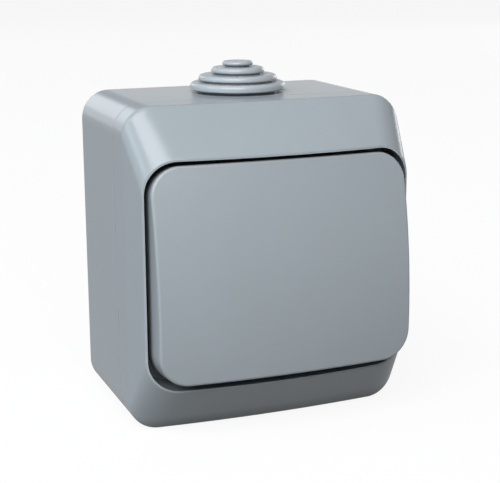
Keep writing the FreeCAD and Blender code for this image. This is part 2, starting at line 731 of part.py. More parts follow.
base_cuts = [
    block("contact_well", f"-({channel_half})", channel_half, "strip_back", "frame_back + fit_gap",
          "-cavity_half", "cavity_half"),
    block("common_channel", "0", f"terminal_spacing + {channel_half}", "strip_back",
          "frame_back + fit_gap", f"-({channel_half})", channel_half),
    block("common_riser", f"terminal_spacing - {channel_half}", f"terminal_spacing + {channel_half}",
          "strip_back", "frame_back + fit_gap", "0", "terminal_at")]
for word, across, sign in terminals:
    base_cuts.append(block(
        f"terminal_pocket_{word}", f"{across} - ({pocket_half})", f"{across} + {pocket_half}",
        "clamp_back - fit_gap", "frame_back + fit_gap",
        *from_middle(sign, pocket_low, "base_height / 2 + fit_gap")))
    base_cuts.append(block(
        f"strip_gate_{word}", f"{across} - ({channel_half})", f"{across} + {channel_half}",
        "strip_back", "frame_back + fit_gap", *from_middle(sign, "contact_at", "terminal_at")))
for word, sign in (("left", "-"), ("right", "")):
    left, right = (("-base_width / 2 - fit_gap", "-base_width / 2 + hook_depth") if sign
                   else ("base_width / 2 - hook_depth", "base_width / 2 + fit_gap"))
    base_cuts.append(block(f"hook_notch_{word}", left, right, "frame_back - hook_reach - fit_gap",
                           "frame_back - hook_reach + 2 * hook_depth", "-hook_width / 2 - fit_gap",
                           "hook_width / 2 + fit_gap"))
mechanism_base = cut("mechanism_base", block(
    "base_block", "-base_width / 2", "base_width / 2", "base_back", "frame_back",
    "-base_height / 2", "base_height / 2"), *base_cuts)

# Mechanism frame: plate on the box's posts, hooks down to the base, collar and rocker bearings
frame_parts = [block("frame_plate", "-base_width / 2", "base_width / 2", "frame_back", "frame_front",
                     "-post_spacing_tall / 2 - post_radius", "post_spacing_tall / 2 + post_radius"),
               block("collar_block", "-aperture_half_width - collar_wall",
                     "aperture_half_width + collar_wall", "frame_front", "seal_back",
                     "pivot_up - aperture_half_height - collar_wall",
                     "pivot_up + aperture_half_height + collar_wall")]
bearing_parts = []
frame_cuts = [block("collar_room", "-aperture_half_width", "aperture_half_width", "frame_front",
                    "floor_front", "pivot_up - aperture_half_height",
                    "pivot_up + aperture_half_height")]
bearing_cuts = []
for word, sign in (("left", "-"), ("right", "")):
    inside, outside = from_middle(sign, "bearing_inside", "bearing_outside")
    bearing_parts.append(block(f"bearing_post_{word}", inside, outside, "frame_back", "pivot_depth",
                               "pivot_up - bearing_radius", "pivot_up + bearing_radius"))
    bearing_parts.append(rod(f"bearing_eye_{word}", "x", "bearing_radius", inside, outside,
                             "pivot_depth", "pivot_up"))
    bearing_cuts.append(rod(f"bearing_bore_{word}", "x", "trunnion_radius + running_gap", inside,
                            outside, "pivot_depth", "pivot_up"))
    bearing_cuts.append(block(f"snap_mouth_{word}", inside, outside, "pivot_depth",
                              "pivot_depth + 2 * bearing_radius", "pivot_up - snap_mouth / 2",
                              "pivot_up + snap_mouth / 2"))
    inside, outside = from_middle(sign, "base_width / 2", "base_width / 2 + hook_thickness")
    frame_parts.append(block(f"hook_leg_{word}", inside, outside, "frame_back - hook_reach",
                             "frame_front", "-hook_width / 2", "hook_width / 2"))
    inside, outside = from_middle(sign, "base_width / 2 - hook_depth + screw_clearance",
                                  "base_width / 2")
    frame_parts.append(block(f"hook_{word}", inside, outside, "frame_back - hook_reach",
                             "frame_back - hook_reach + hook_depth", "-hook_width / 2",
                             "hook_width / 2"))
for word, sign in (("low_left", "-"), ("top_right", "")):
    frame_cuts.append(rod(f"frame_hole_{word}", "depth", screw_hole, "frame_back - fit_gap",
                          "frame_front + fit_gap", sign + "post_spacing_wide / 2",
                          sign + "post_spacing_tall / 2"))
for word, across, sign in terminals:
    frame_cuts.append(rod(f"driver_hole_{word}", "depth", "terminal_head_radius + fit_gap",
                          "frame_back - fit_gap", "frame_front + fit_gap", across, sign + "terminal_at"))
frame_cuts.append(rod("plunger_hole", "depth", "plunger_hole_radius", "frame_back - fit_gap",
                      "frame_front + fit_gap", "0", "0"))
frame_shell = cut("frame_shell", fuse("frame_solid", *frame_parts), *frame_cuts)
mechanism_frame = cut("mechanism_frame", fuse("frame_with_bearings", frame_shell, *bearing_parts),
                      *bearing_cuts)

# Lip seal between the frame's collar and the cover's floor
aperture_seal = new_body("aperture_seal")
add_pad(aperture_seal, "seal_frame", front_outline(
    aperture_seal, "seal_frame_outline", "seal_back",
    ("2 * (aperture_half_width + collar_wall)", "2 * (aperture_half_height + collar_wall)",
     "collar_wall"),
    ("2 * aperture_half_width", "2 * aperture_half_height", "aperture_bend"), up="pivot_up"),
    "lip_seal_thickness")

# Fixed contacts: flat strips with a contact tip or the fulcrum, and the terminals on their ends
common_pin = rod("fulcrum_pin", "x", "fulcrum_radius", "-bridge_width / 2 - fit_gap",
                 "bridge_width / 2 + fit_gap", "bridge_depth", "0")
common_web = block("fulcrum_web", "-bridge_width / 2", "bridge_width / 2", "strip_back",
                   "bridge_depth", "-fulcrum_radius / 2", "fulcrum_radius / 2")
common_strip = block("common_strip", "-strip_width / 2", "terminal_spacing + strip_width / 2",
                     "strip_back", "strip_front", "-strip_width / 2", "strip_width / 2")
common_riser = block("common_riser_strip", "terminal_spacing - strip_width / 2",
                     "terminal_spacing + strip_width / 2", "strip_back", "strip_front",
                     "-strip_width / 2", "terminal_at + clamp_size / 2")
common_contact = fuse("common_contact", common_pin, common_web, common_strip, common_riser)
fixed_contacts = []
fixed_tips = []
moving_tips = []
for word, sign in (("upper", ""), ("lower", "-")):
    strip = block(f"{word}_strip", "-strip_width / 2", "strip_width / 2", "strip_back", "strip_front",
                  *from_middle(sign, "contact_at - strip_width / 2", "terminal_at + clamp_size / 2"))
    fixed_contacts.append(strip)
    fixed_tips.append(rod(f"{word}_fixed_tip", "depth", "contact_radius", "strip_front",
                          "fixed_tip_front", "0", sign + "contact_at"))
    moving_tips.append(rod(f"{word}_moving_tip", "depth", "contact_radius",
                           "bridge_depth - bridge_thickness / 2 - contact_tip",
                           "bridge_depth - bridge_thickness / 2", "0", sign + "contact_at"))
fixed_contact_tips = group("fixed_contact_tips", *fixed_tips)


def terminal_clamp(word, across, up, front):
    """Square cage round a strip, open up and down for the wire, with a screw hole in front."""
    cage = block(f"cage_{word}", f"{across} - clamp_size / 2", f"{across} + clamp_size / 2",
                 f"{front} - clamp_height", front, f"{up} - clamp_size / 2", f"{up} + clamp_size / 2")
    room = block(f"cage_room_{word}", f"{across} - clamp_size / 2 + clamp_wall",
                 f"{across} + clamp_size / 2 - clamp_wall", f"{front} - clamp_height + clamp_wall",
                 f"{front} - clamp_wall", f"{up} - clamp_size", f"{up} + clamp_size")
    strip_room = block(f"cage_strip_room_{word}", f"{across} - {channel_half}",
                       f"{across} + {channel_half}", "strip_back - screw_clearance",
                       "strip_front + screw_clearance", f"{up} - clamp_size", f"{up} + clamp_size")
    hole = rod(f"cage_hole_{word}", "depth", "terminal_screw_radius + running_gap",
               f"{front} - 2 * clamp_wall", f"{front} + clamp_wall", across, up)
    return cut(f"terminal_clamp_{word}", cage, room, strip_room, hole)


terminal_clamps = group("terminal_clamps", *[
    terminal_clamp(word, across, sign + "terminal_at", "clamp_front") for word, across, sign in terminals])
terminal_screws = group("terminal_screws", *[
    slotted_screw(f"terminal_screw_{word}", across, sign + "terminal_at", "clamp_front + clamp_wall",
                  "terminal_screw_radius", "terminal_head_radius", "terminal_head_height",
                  "clamp_front + clamp_wall - strip_front - running_gap")
    for word, across, sign in terminals])

# Earth terminal in its frame on the box's floor: a block with a wire hole and its screw
earth_top = "back_wall + earth_height"
earth_terminal = cut(
    "earth_terminal",
    block("earth_block", "-earth_across - earth_size / 2", "-earth_across + earth_size / 2",
          "back_wall", earth_top, "earth_up - earth_size / 2", "earth_up + earth_size / 2"),
    rod("earth_wire_hole", "z", "earth_wire_radius", "earth_up - earth_size", "earth_up + earth_size",
        "-earth_across", "back_wall + earth_wire_rise"),
    rod("earth_screw_hole", "depth", "terminal_screw_radius + running_gap",
        "back_wall + earth_wire_rise", f"{earth_top} + fit_gap", "-earth_across", "earth_up"))
earth_terminal_screw = slotted_screw(
    "earth_terminal_screw", "-earth_across", "earth_up", f"{earth_top} + fit_gap",
    "terminal_screw_radius", "terminal_head_radius", "terminal_head_height",
    "earth_height + fit_gap - earth_wire_rise - earth_wire_radius")

# Contact bridge, rocking on the fulcrum: two arms and a half sleeve over the pin
arms = block("bridge_arms", "-bridge_width / 2", "bridge_width / 2",
             "bridge_depth - bridge_thickness / 2", "bridge_depth + bridge_thickness / 2",
             "-bridge_height / 2", "bridge_height / 2")
sleeve = cut("bridge_sleeve", rod("sleeve_bar", "x", "sleeve_radius", "-bridge_width / 2",
                                  "bridge_width / 2", "bridge_depth", "0"),
             block("sleeve_back", "-bridge_width", "bridge_width", "bridge_depth - bridge_width",
                   "bridge_depth", "-bridge_width", "bridge_width"))
bridge_bore = rod("bridge_bore", "x", "fulcrum_radius + running_gap", "-bridge_width", "bridge_width",
                  "bridge_depth", "0")
contact_bridge = tilt(cut("contact_bridge", fuse("bridge_solid", arms, sleeve), bridge_bore),
                      "bridge_depth", "bridge_tilt")
moving_contact_tips = tilt(group("moving_contact_tips", *moving_tips), "bridge_depth", "bridge_tilt")

# Rocker cradle: wing under the rocker plate, hollow body, trunnions and the spring's bore
cradle_parts = [
    block("cradle_wing", "-cradle_width / 2", "cradle_width / 2", "wing_back", "wing_front",
          "-cradle_wing / 2", "cradle_wing / 2"),
    block("cradle_block", "-cradle_width / 2", "cradle_width / 2", "cradle_back", "wing_front",
          "-cradle_height / 2", "cradle_height / 2")]
cradle_cuts = [rod("spring_bore", "depth", "spring_bore_radius", "cradle_back - fit_gap",
                   "spring_end", "0", "0")]
for word, sign in (("left", "-"), ("right", "")):
    cradle_parts.append(rod(f"trunnion_{word}", "x", "trunnion_radius",
                            *from_middle(sign, "cradle_width / 2 - cradle_wall", "bearing_outside"),
                            "pivot_depth", "0"))
    cradle_cuts.append(block(
        f"cradle_hollow_{word}",
        *from_middle(sign, "spring_bore_radius + cradle_wall", "cradle_width / 2 - cradle_wall"),
        "cradle_back - fit_gap", "wing_back - fit_gap",
        "-cradle_height / 2 + cradle_wall", "cradle_height / 2 - cradle_wall"))
rocker_cradle = tilt(cut("rocker_cradle", fuse("cradle_solid", *cradle_parts), *cradle_cuts),
                     "pivot_depth", "-rest_tilt", "pivot_up")

# Plunger: hollow cap that slides in the bore, with a rounded nose
plunger_radius = "spring_bore_radius - running_gap"
plunger_nose = rod("plunger_nose", "depth", "nose_radius", "plunger_back",
                   "plunger_back + nose_length", "0", "0")
soft_nose = doc.addObject("Part::Fillet", "plunger_soft_nose")
soft_nose.Base = plunger_nose
soft_nose.Edges = [(start_circle, size("nose_round"), size("nose_round"))]
plunger_body = rod("plunger_body", "depth", plunger_radius, "plunger_back + nose_length",
                   "plunger_front", "0", "0")
plunger_room = rod("plunger_room", "depth", f"{plunger_radius} - plunger_skin",
                   "plunger_back + nose_length + plunger_skin", "plunger_front + fit_gap", "0", "0")
plunger = tilt(cut("plunger", fuse("plunger_solid", soft_nose, plunger_body), plunger_room),
               "pivot_depth", "-rest_tilt", "pivot_up")

# Plunger spring: a helix that starts on the plunger's floor and ends short of the bore's end
spring_line = doc.addObject("Part::Helix", "spring_line")
spring_start = "plunger_back + nose_length + plunger_skin + spring_wire / 2"
spring_reach = f"(spring_end - plunger_travel - running_gap - spring_wire / 2 - ({spring_start}))"
spring_mean = f"({plunger_radius} - plunger_skin - 2 * running_gap - spring_wire / 2)"
bind(spring_line, Height=spring_reach, Pitch=f"{spring_reach} / spring_turns", Radius=spring_mean)
spring_section = doc.addObject("Part::Circle", "spring_section")
spring_section.Placement = FreeCAD.Placement(Vector(), FreeCAD.Rotation(Vector(1, 0, 0), 90))
bind(spring_section, Radius="spring_wire / 2", Placement__Base__x=spring_mean)
spring_coil = doc.addObject("Part::Sweep", "spring_coil")
spring_coil.Sections = [spring_section]
spring_coil.Spine = (spring_line, ["Edge1"])
spring_coil.Solid = True
spring_coil.Frenet = True
doc.recompute()
spring_placed = doc.addObject("Part::Compound", "spring_along_bore")
spring_placed.Links = [spring_coil]
spring_placed.Placement = FreeCAD.Placement(Vector(), FreeCAD.Rotation(Vector(1, 0, 0), 90))
bind(spring_placed, Placement__Base__y=f"-({spring_start})")
plunger_spring = tilt(group("plunger_spring", spring_placed), "pivot_depth", "-rest_tilt",
                      "pivot_up")

# Rocker plate: pad of the outline, crowned both ways by a revolved cut, shelled from behind
rocker_plate = new_body("rocker_plate")
add_pad(rocker_plate, "rocker_block", front_outline(
    rocker_plate, "rocker_outline", "rocker_back",
    ("rocker_width", "rocker_height", "rocker_radius")), "rocker_front - rocker_back + fit_gap")
crown = new_sketch(rocker_plate, "crown_profile", "YZ_Plane")
crown_reach = number("rocker_half + rocker_radius")
crown_front = number("rocker_front")
crown_radius = number("crown_tall_radius")
crown_centre = Vector(crown_radius - crown_front, 0, 0)
crown_swing = math.asin(crown_reach / crown_radius)
crown_arc = crown.addGeometry(Part.ArcOfCircle(
    Part.Circle(crown_centre, Vector(0, 0, 1), crown_radius), math.pi - crown_swing,
    math.pi + crown_swing))
crown_edge = crown_centre.x - crown_radius * math.cos(crown_swing)
clear_front = -2 * crown_front
corners = [Vector(crown_edge, -crown_reach, 0), Vector(clear_front, -crown_reach, 0),
           Vector(clear_front, crown_reach, 0), Vector(crown_edge, crown_reach, 0)]
crown_lines = [crown.addGeometry(Part.LineSegment(*pair)) for pair in zip(corners, corners[1:])]
crown_axis = crown.addGeometry(Part.LineSegment(
    Vector(number("crown_wide_radius") - crown_front, -crown_reach, 0),
    Vector(number("crown_wide_radius") - crown_front, crown_reach, 0)), True)
for first, second in zip([crown_arc] + crown_lines, crown_lines + [crown_arc]):
    crown.addConstraint(Sketcher.Constraint("Coincident", first, 2, second, 1))
for line, way in zip(crown_lines, ["Horizontal", "Vertical", "Horizontal"]):
    crown.addConstraint(Sketcher.Constraint(way, line))
crown.addConstraint(Sketcher.Constraint("Symmetric", crown_lines[0], 1, crown_lines[2], 2, -1))
crown.addConstraint(Sketcher.Constraint("Symmetric", crown_axis, 1, crown_axis, 2, -1))
dimension(crown, "tall_radius", "crown_tall_radius", "Radius", crown_arc, crown_radius)
dimension(crown, "centre_at", "crown_tall_radius - rocker_front",
          "DistanceX", -1, 1, crown_arc, 3, crown_centre.x)
dimension(crown, "axis_at", "crown_wide_radius - rocker_front",
          "DistanceX", -1, 1, crown_axis, 1, number("crown_wide_radius") - crown_front)
dimension(crown, "clear_front", "2 * rocker_front", "DistanceX", crown_lines[1], 1, -1, 1,
          2 * crown_front)
dimension(crown, "reach", "2 * (rocker_half + rocker_radius)", "DistanceY",
          crown_lines[1], 1, crown_lines[1], 2, 2 * crown_reach)
dimension(crown, "axis_reach", "2 * (rocker_half + rocker_radius)", "DistanceY",
          crown_axis, 1, crown_axis, 2, 2 * crown_reach)
doc.recompute()
crown_cut = rocker_plate.newObject("PartDesign::Groove", "rocker_crown")
crown_cut.Profile = crown
crown_cut.ReferenceAxis = (crown, ["Axis0"])
crown_cut.Midplane = True
bind(crown_cut, Angle="crown_angle")
doc.recompute()


def add_rib(name, across, up, wide, tall, back, front):
    """Upright wall from a depth to inside the rocker's skin, centred across and up."""
    sketch = new_sketch(rocker_plate, name + "_outline", "XZ_Plane", across, up, back)
    add_outline(sketch, wide, tall, "rocker_rib / 4")
    return add_pad(rocker_plate, name, sketch, f"{front} - ({back})")


back_face = next(f"Face{place}" for place, face in enumerate(rocker_plate.Shape.Faces, 1)
                 if face.CenterOfMass.y > -size("rocker_back") - near)
block_features = rocker_plate.Tip
shelled = rocker_plate.newObject("PartDesign::Thickness", "rocker_shell")
shelled.Base = (block_features, [back_face])
shelled.Reversed = True
shelled.Join = 0
bind(shelled, Value="rocker_skin")
doc.recompute()
front_face = max(rocker_plate.Shape.Faces, key=lambda face: face.Area)
front_edges = [f"Edge{place}" for place, edge in enumerate(rocker_plate.Shape.Edges, 1)
               if any(edge.isSame(other) for other in front_face.Edges)]
edge_round = rocker_plate.newObject("PartDesign::Fillet", "rocker_edge")
edge_round.Base = (shelled, front_edges)
bind(edge_round, Radius="rocker_edge_round")
rib_front = "rocker_front - rocker_skin + rocker_rib / 4"
rib_back = "wing_front + screw_clearance"
leg_at = "cradle_wing / 2 + fit_gap + rocker_rib / 2"
barb_at = "cradle_wing / 2 - fit_gap"
for word, sign in (("left", "-"), ("right", "")):
    add_rib(f"upright_rib_{word}", sign + "rib_across", "0", "rocker_rib", "cradle_wing - 2 * rocker_rib",
            rib_back, rib_front)
for word, sign in (("low", "-"), ("top", "")):
    add_rib(f"cross_rib_{word}", "0", sign + "rib_up", "2 * cradle_wall + 3 * rib_across", "rocker_rib",
            rib_back, rib_front)
    add_rib(f"clip_leg_{word}", "0", f"{sign}({leg_at})", "clip_width", "rocker_rib",
            "wing_back - clip_reach", rib_front)
    add_rib(f"clip_barb_{word}", "0", f"{sign}({barb_at})", "clip_width", "rocker_rib",
            "wing_back - clip_reach", "wing_back - screw_clearance")
tilt(rocker_plate, "pivot_depth", "-rest_tilt", "pivot_up")

nodes = {
    "rear_box": rear_box,
    "front_cover": front_cover,
    "cover_seal": cover_seal,
    "cable_entry_grommet": grommet,
    "cover_screws": cover_screws,
    "mechanism_screws": mechanism_screws,
    "mechanism_base": mechanism_base,
    "mechanism_frame": mechanism_frame,
    "aperture_seal": aperture_seal,
    "common_contact": common_contact,
    "upper_fixed_contact": fixed_contacts[0],
    "lower_fixed_contact": fixed_contacts[1],
    "fixed_contact_tips": fixed_contact_tips,
    "terminal_clamps": terminal_clamps,
    "terminal_screws": terminal_screws,
    "earth_terminal": earth_terminal,
    "earth_terminal_screw": earth_terminal_screw,
    "contact_bridge": contact_bridge,
    "moving_contact_tips": moving_contact_tips,
    "rocker_plate": rocker_plate,
    "rocker_cradle": rocker_cradle,
    "plunger": plunger,
    "plunger_spring": plunger_spring,
}
for name, item in nodes.items():
    item.Label = name
doc.recompute()
for item in doc.Objects:
    if "Invalid" in item.State or "Error" in item.State:
        raise RuntimeError(f"{item.Name} did not recompute: {item.State}")
for name, item in nodes.items():
    if item.Shape.isNull() or not item.Shape.isValid() or not item.Shape.Solids:
        raise RuntimeError(f"{name} has no valid solid")
for name, item in nodes.items():
    item.Shape.exportStep(f"parts/{name}.step")
    print(name, len(item.Shape.Solids), "solids", round(item.Shape.Volume, 1), "mm3")
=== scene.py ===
import bpy
import math
from mathutils import Matrix, Vector


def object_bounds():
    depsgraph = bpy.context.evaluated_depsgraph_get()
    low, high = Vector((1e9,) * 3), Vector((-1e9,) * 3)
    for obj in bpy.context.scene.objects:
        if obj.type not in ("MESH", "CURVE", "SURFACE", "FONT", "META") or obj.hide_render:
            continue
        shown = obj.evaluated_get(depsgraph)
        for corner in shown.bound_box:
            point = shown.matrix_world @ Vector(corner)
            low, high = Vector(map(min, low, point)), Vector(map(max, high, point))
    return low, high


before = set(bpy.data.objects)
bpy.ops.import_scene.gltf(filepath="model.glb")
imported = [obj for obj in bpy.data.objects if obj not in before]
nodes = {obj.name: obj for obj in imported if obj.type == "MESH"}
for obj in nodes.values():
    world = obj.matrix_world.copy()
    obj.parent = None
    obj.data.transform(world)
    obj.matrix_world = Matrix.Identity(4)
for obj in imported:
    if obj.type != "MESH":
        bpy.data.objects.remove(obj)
cadBox = [list(corner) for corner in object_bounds()]
scene = bpy.context.scene
print("frame loaded:", len(nodes), "nodes")


# small helpers for node trees
def addNode(tree, kind, values=None, **settings):
    node = tree.nodes.new(kind)
    for name, value in settings.items():
        setattr(node, name, value)
    for name, value in (values or {}).items():
        node.inputs[name].default_value = value
    return node


def wire(tree, *pairs):
    for source, target in pairs:
        tree.links.new(source, target)


def newGroup(name, inputs, outputs):
    tree = bpy.data.node_groups.new(name, "ShaderNodeTree")
    for label, kind, value in inputs:
        socket = tree.interface.new_socket(
            label, in_out="INPUT", socket_type="NodeSocket" + kind)
        socket.default_value = value
    for label, kind in outputs:
        tree.interface.new_socket(label, in_out="OUTPUT", socket_type="NodeSocket" + kind)
    return tree, tree.nodes.new("NodeGroupInput"), tree.nodes.new("NodeGroupOutput")


def mathNode(tree, operation, first, second, clamp=False):
    node = addNode(tree, "ShaderNodeMath", operation=operation, use_clamp=clamp)
    for place, value in enumerate((first, second)):
        if isinstance(value, (int, float)):
            node.inputs[place].default_value = value
        else:
            tree.links.new(value, node.inputs[place])
    return node.outputs[0]


# effects shared by several materials; the sockets' own values are only stand-ins, because
# each material gives its own
mouldGrain = {"fineDetail": 2.0, "fineRoughness": 0.55, "longDetail": 3.0, "longRoughness": 0.6}


def buildMouldGrain(settings):
    # fine texture of a spark-eroded mould, with a second, longer grain that can be stretched
    tree, take, give = newGroup(
        "mouldGrain",
        [("Stretch", "Vector", (1, 1, 1)), ("Fine Scale", "Float", 5200),
         ("Long Scale", "Float", 900), ("Long Share", "Float", 0.3)],
        [("Height", "Float"), ("Rough Shift", "Float")])
    where = addNode(tree, "ShaderNodeTexCoord")
    stretch = addNode(tree, "ShaderNodeVectorMath", operation="MULTIPLY")
    fine = addNode(tree, "ShaderNodeTexNoise", {
        "Detail": settings["fineDetail"], "Roughness": settings["fineRoughness"]})
    longGrain = addNode(tree, "ShaderNodeTexNoise", {
        "Detail": settings["longDetail"], "Roughness": settings["longRoughness"]})
    wire(tree,
         (where.outputs["Object"], stretch.inputs[0]),
         (take.outputs["Stretch"], stretch.inputs[1]),
         (where.outputs["Object"], fine.inputs["Vector"]),
         (stretch.outputs[0], longGrain.inputs["Vector"]),
         (take.outputs["Fine Scale"], fine.inputs["Scale"]),
         (take.outputs["Long Scale"], longGrain.inputs["Scale"]))
    longPart = mathNode(tree, "MULTIPLY", longGrain.outputs["Fac"], take.outputs["Long Share"])
    height = mathNode(tree, "ADD", fine.outputs["Fac"], longPart)
    shift = mathNode(tree, "SUBTRACT", longGrain.outputs["Fac"], 0.5)
    wire(tree, (height, give.inputs["Height"]), (shift, give.inputs["Rough Shift"]))
    return tree


flowMottle = {"detail": 4.0, "roughness": 0.5, "distortion": 0.6}


def buildFlowMottle(settings):
    # broad, faint unevenness of colour left by the flow of the plastic or the cast of metal
    tree, take, give = newGroup(
        "flowMottle",
        [("Color", "Color", (0.5, 0.5, 0.5, 1)), ("Scale", "Float", 45),
         ("Amount", "Float", 0.04)],
        [("Color", "Color")])
    where = addNode(tree, "ShaderNodeTexCoord")
    cloud = addNode(tree, "ShaderNodeTexNoise", {
        "Detail": settings["detail"], "Roughness": settings["roughness"],
        "Distortion": settings["distortion"]})
    wire(tree,
         (where.outputs["Object"], cloud.inputs["Vector"]),
         (take.outputs["Scale"], cloud.inputs["Scale"]))
    centred = mathNode(tree, "SUBTRACT", cloud.outputs["Fac"], 0.5)
    swing = mathNode(tree, "MULTIPLY", centred, take.outputs["Amount"])
    gain = mathNode(tree, "ADD", swing, 1.0)
    scaled = addNode(tree, "ShaderNodeVectorMath", operation="SCALE")
    wire(tree,
         (take.outputs["Color"], scaled.inputs[0]),
         (gain, scaled.inputs["Scale"]),
         (scaled.outputs[0], give.inputs["Color"]))
    return tree


edgeRubAndHighlight = {"samples": 4, "detail": 3.0, "gain": 6.0}


def buildEdgeRubAndHighlight(settings):
    # mask of convex edges, broken up by noise, for paler handled edges and a painted edge
    # highlight
    tree, take, give = newGroup(
        "edgeRubAndHighlight",
        [("Width", "Float", 0.0006), ("Strength", "Float", 1.0), ("Break Scale", "Float", 400)],
        [("Mask", "Float")])
    soft = addNode(tree, "ShaderNodeBevel", samples=settings["samples"])
    true = addNode(tree, "ShaderNodeNewGeometry")
    alike = addNode(tree, "ShaderNodeVectorMath", operation="DOT_PRODUCT")
    where = addNode(tree, "ShaderNodeTexCoord")
    broken = addNode(tree, "ShaderNodeTexNoise", {"Detail": settings["detail"]})
    wire(tree,
         (take.outputs["Width"], soft.inputs["Radius"]),
         (soft.outputs[0], alike.inputs[0]),
         (true.outputs["Normal"], alike.inputs[1]),
         (where.outputs["Object"], broken.inputs["Vector"]),
         (take.outputs["Break Scale"], broken.inputs["Scale"]))
    bend = mathNode(tree, "SUBTRACT", 1.0, alike.outputs["Value"])
    patchy = mathNode(tree, "MULTIPLY", bend, broken.outputs["Fac"])
    patchy = mathNode(tree, "MULTIPLY", patchy, settings["gain"])
    mask = mathNode(tree, "MULTIPLY", patchy, take.outputs["Strength"], clamp=True)
    wire(tree, (mask, give.inputs["Mask"]))
    return tree


settledDust = {"detail": 5.0, "roughness": 0.65, "upPower": 2.0, "bareBelow": 0.35, "gain": 1.8}


def buildSettledDust(settings):
    # thin dust on faces that look up, patchy at the scale of a few millimetres
    tree, take, give = newGroup(
        "settledDust", [("Amount", "Float", 0.1), ("Scale", "Float", 220)], [("Mask", "Float")])
    true = addNode(tree, "ShaderNodeNewGeometry")
    parts = addNode(tree, "ShaderNodeSeparateXYZ")
    where = addNode(tree, "ShaderNodeTexCoord")
    patches = addNode(tree, "ShaderNodeTexNoise", {
        "Detail": settings["detail"], "Roughness": settings["roughness"]})
    wire(tree,
         (true.outputs["Normal"], parts.inputs[0]),
         (where.outputs["Object"], patches.inputs["Vector"]),
         (take.outputs["Scale"], patches.inputs["Scale"]))
    up = mathNode(tree, "MAXIMUM", parts.outputs["Z"], 0.0)
    up = mathNode(tree, "POWER", up, settings["upPower"])
    patch = mathNode(tree, "SUBTRACT", patches.outputs["Fac"], settings["bareBelow"])
    patch = mathNode(tree, "MULTIPLY", patch, settings["gain"], clamp=True)
    both = mathNode(tree, "MULTIPLY", up, patch)
    mask = mathNode(tree, "MULTIPLY", both, take.outputs["Amount"], clamp=True)
    wire(tree, (mask, give.inputs["Mask"]))
    return tree


paintedCreviceShade = {"samples": 12, "power": 1.5}


def buildPaintedCreviceShade(settings):
    # mask of narrow gaps and inner corners, for a painted shade where little light comes
    tree, take, give = newGroup(
        "paintedCreviceShade", [("Reach", "Float", 0.003), ("Strength", "Float", 0.6)],
        [("Mask", "Float")])
    opened = addNode(tree, "ShaderNodeAmbientOcclusion", samples=settings["samples"])
    wire(tree, (take.outputs["Reach"], opened.inputs["Distance"]))
    closed = mathNode(tree, "SUBTRACT", 1.0, opened.outputs["AO"], clamp=True)
    closed = mathNode(tree, "POWER", closed, settings["power"])
    mask = mathNode(tree, "MULTIPLY", closed, take.outputs["Strength"], clamp=True)
    wire(tree, (mask, give.inputs["Mask"]))
    return tree


effects = {
    "mouldGrain": buildMouldGrain(mouldGrain),
    "flowMottle": buildFlowMottle(flowMottle),
    "edgeRubAndHighlight": buildEdgeRubAndHighlight(edgeRubAndHighlight),
    "settledDust": buildSettledDust(settledDust),
    "paintedCreviceShade": buildPaintedCreviceShade(paintedCreviceShade),
}
print("shared effects built:", len(effects))


# materials
def useEffect(tree, name, **values):
    node = tree.nodes.new("ShaderNodeGroup")
    node.node_tree = effects[name]
    for label, value in values.items():
        node.inputs[label.replace("_", " ")].default_value = value
    return node


def blendColor(tree, mask, first, second):
    mix = addNode(tree, "ShaderNodeMix", data_type="RGBA")
    wire(tree, (mask, mix.inputs["Factor"]), (first, mix.inputs["A"]))
    mix.inputs["B"].default_value = (*second, 1)
    return mix.outputs["Result"]


def makeFinish(name, look):
    material = bpy.data.materials.new(name)
    material.use_nodes = True
    tree = material.node_tree
    skin = tree.nodes["Principled BSDF"]
    skin.inputs["IOR"].default_value = look["ior"]
    skin.inputs["Metallic"].default_value = look["metal"]
    grain = useEffect(tree, "mouldGrain", Stretch=look["stretch"], Fine_Scale=look["fineScale"],
                      Long_Scale=look["longScale"], Long_Share=look["longShare"])
    mottle = useEffect(tree, "flowMottle", Color=(*look["color"], 1),
                       Scale=look["mottleScale"], Amount=look["mottle"])
    rubAndHighlight = useEffect(tree, "edgeRubAndHighlight", Width=look["rubAndHighlightWidth"], Strength=look["rubAndHighlight"])
    dust = useEffect(tree, "settledDust", Amount=look["dust"])
    paintedShade = useEffect(tree, "paintedCreviceShade", Reach=look["paintedShadeReach"], Strength=look["paintedShade"])
    # paler convex edges: partly handled wear, partly a painted highlight on the edges
    color = blendColor(tree, rubAndHighlight.outputs["Mask"], mottle.outputs["Color"], look["rubAndHighlightColor"])
    color = blendColor(tree, dust.outputs["Mask"], color, look["dustColor"])
    # painted shade: near-black colour laid into gaps, creases and inner corners
    color = blendColor(tree, paintedShade.outputs["Mask"], color, look["paintedShadeColor"])
    rough = mathNode(tree, "MULTIPLY", grain.outputs["Rough Shift"], look["roughSwing"])
    rough = mathNode(tree, "ADD", rough, look["rough"])
    dusty = mathNode(tree, "MULTIPLY", dust.outputs["Mask"], look["dustRough"])
    rough = mathNode(tree, "ADD", rough, dusty, clamp=True)
    bump = addNode(tree, "ShaderNodeBump", {
        "Strength": look["bump"], "Distance": look["bumpDepth"]})
    wire(tree,
         (color, skin.inputs["Base Color"]),
         (rough, skin.inputs["Roughness"]),
         (grain.outputs["Height"], bump.inputs["Height"]),
         (bump.outputs["Normal"], skin.inputs["Normal"]))
    return material


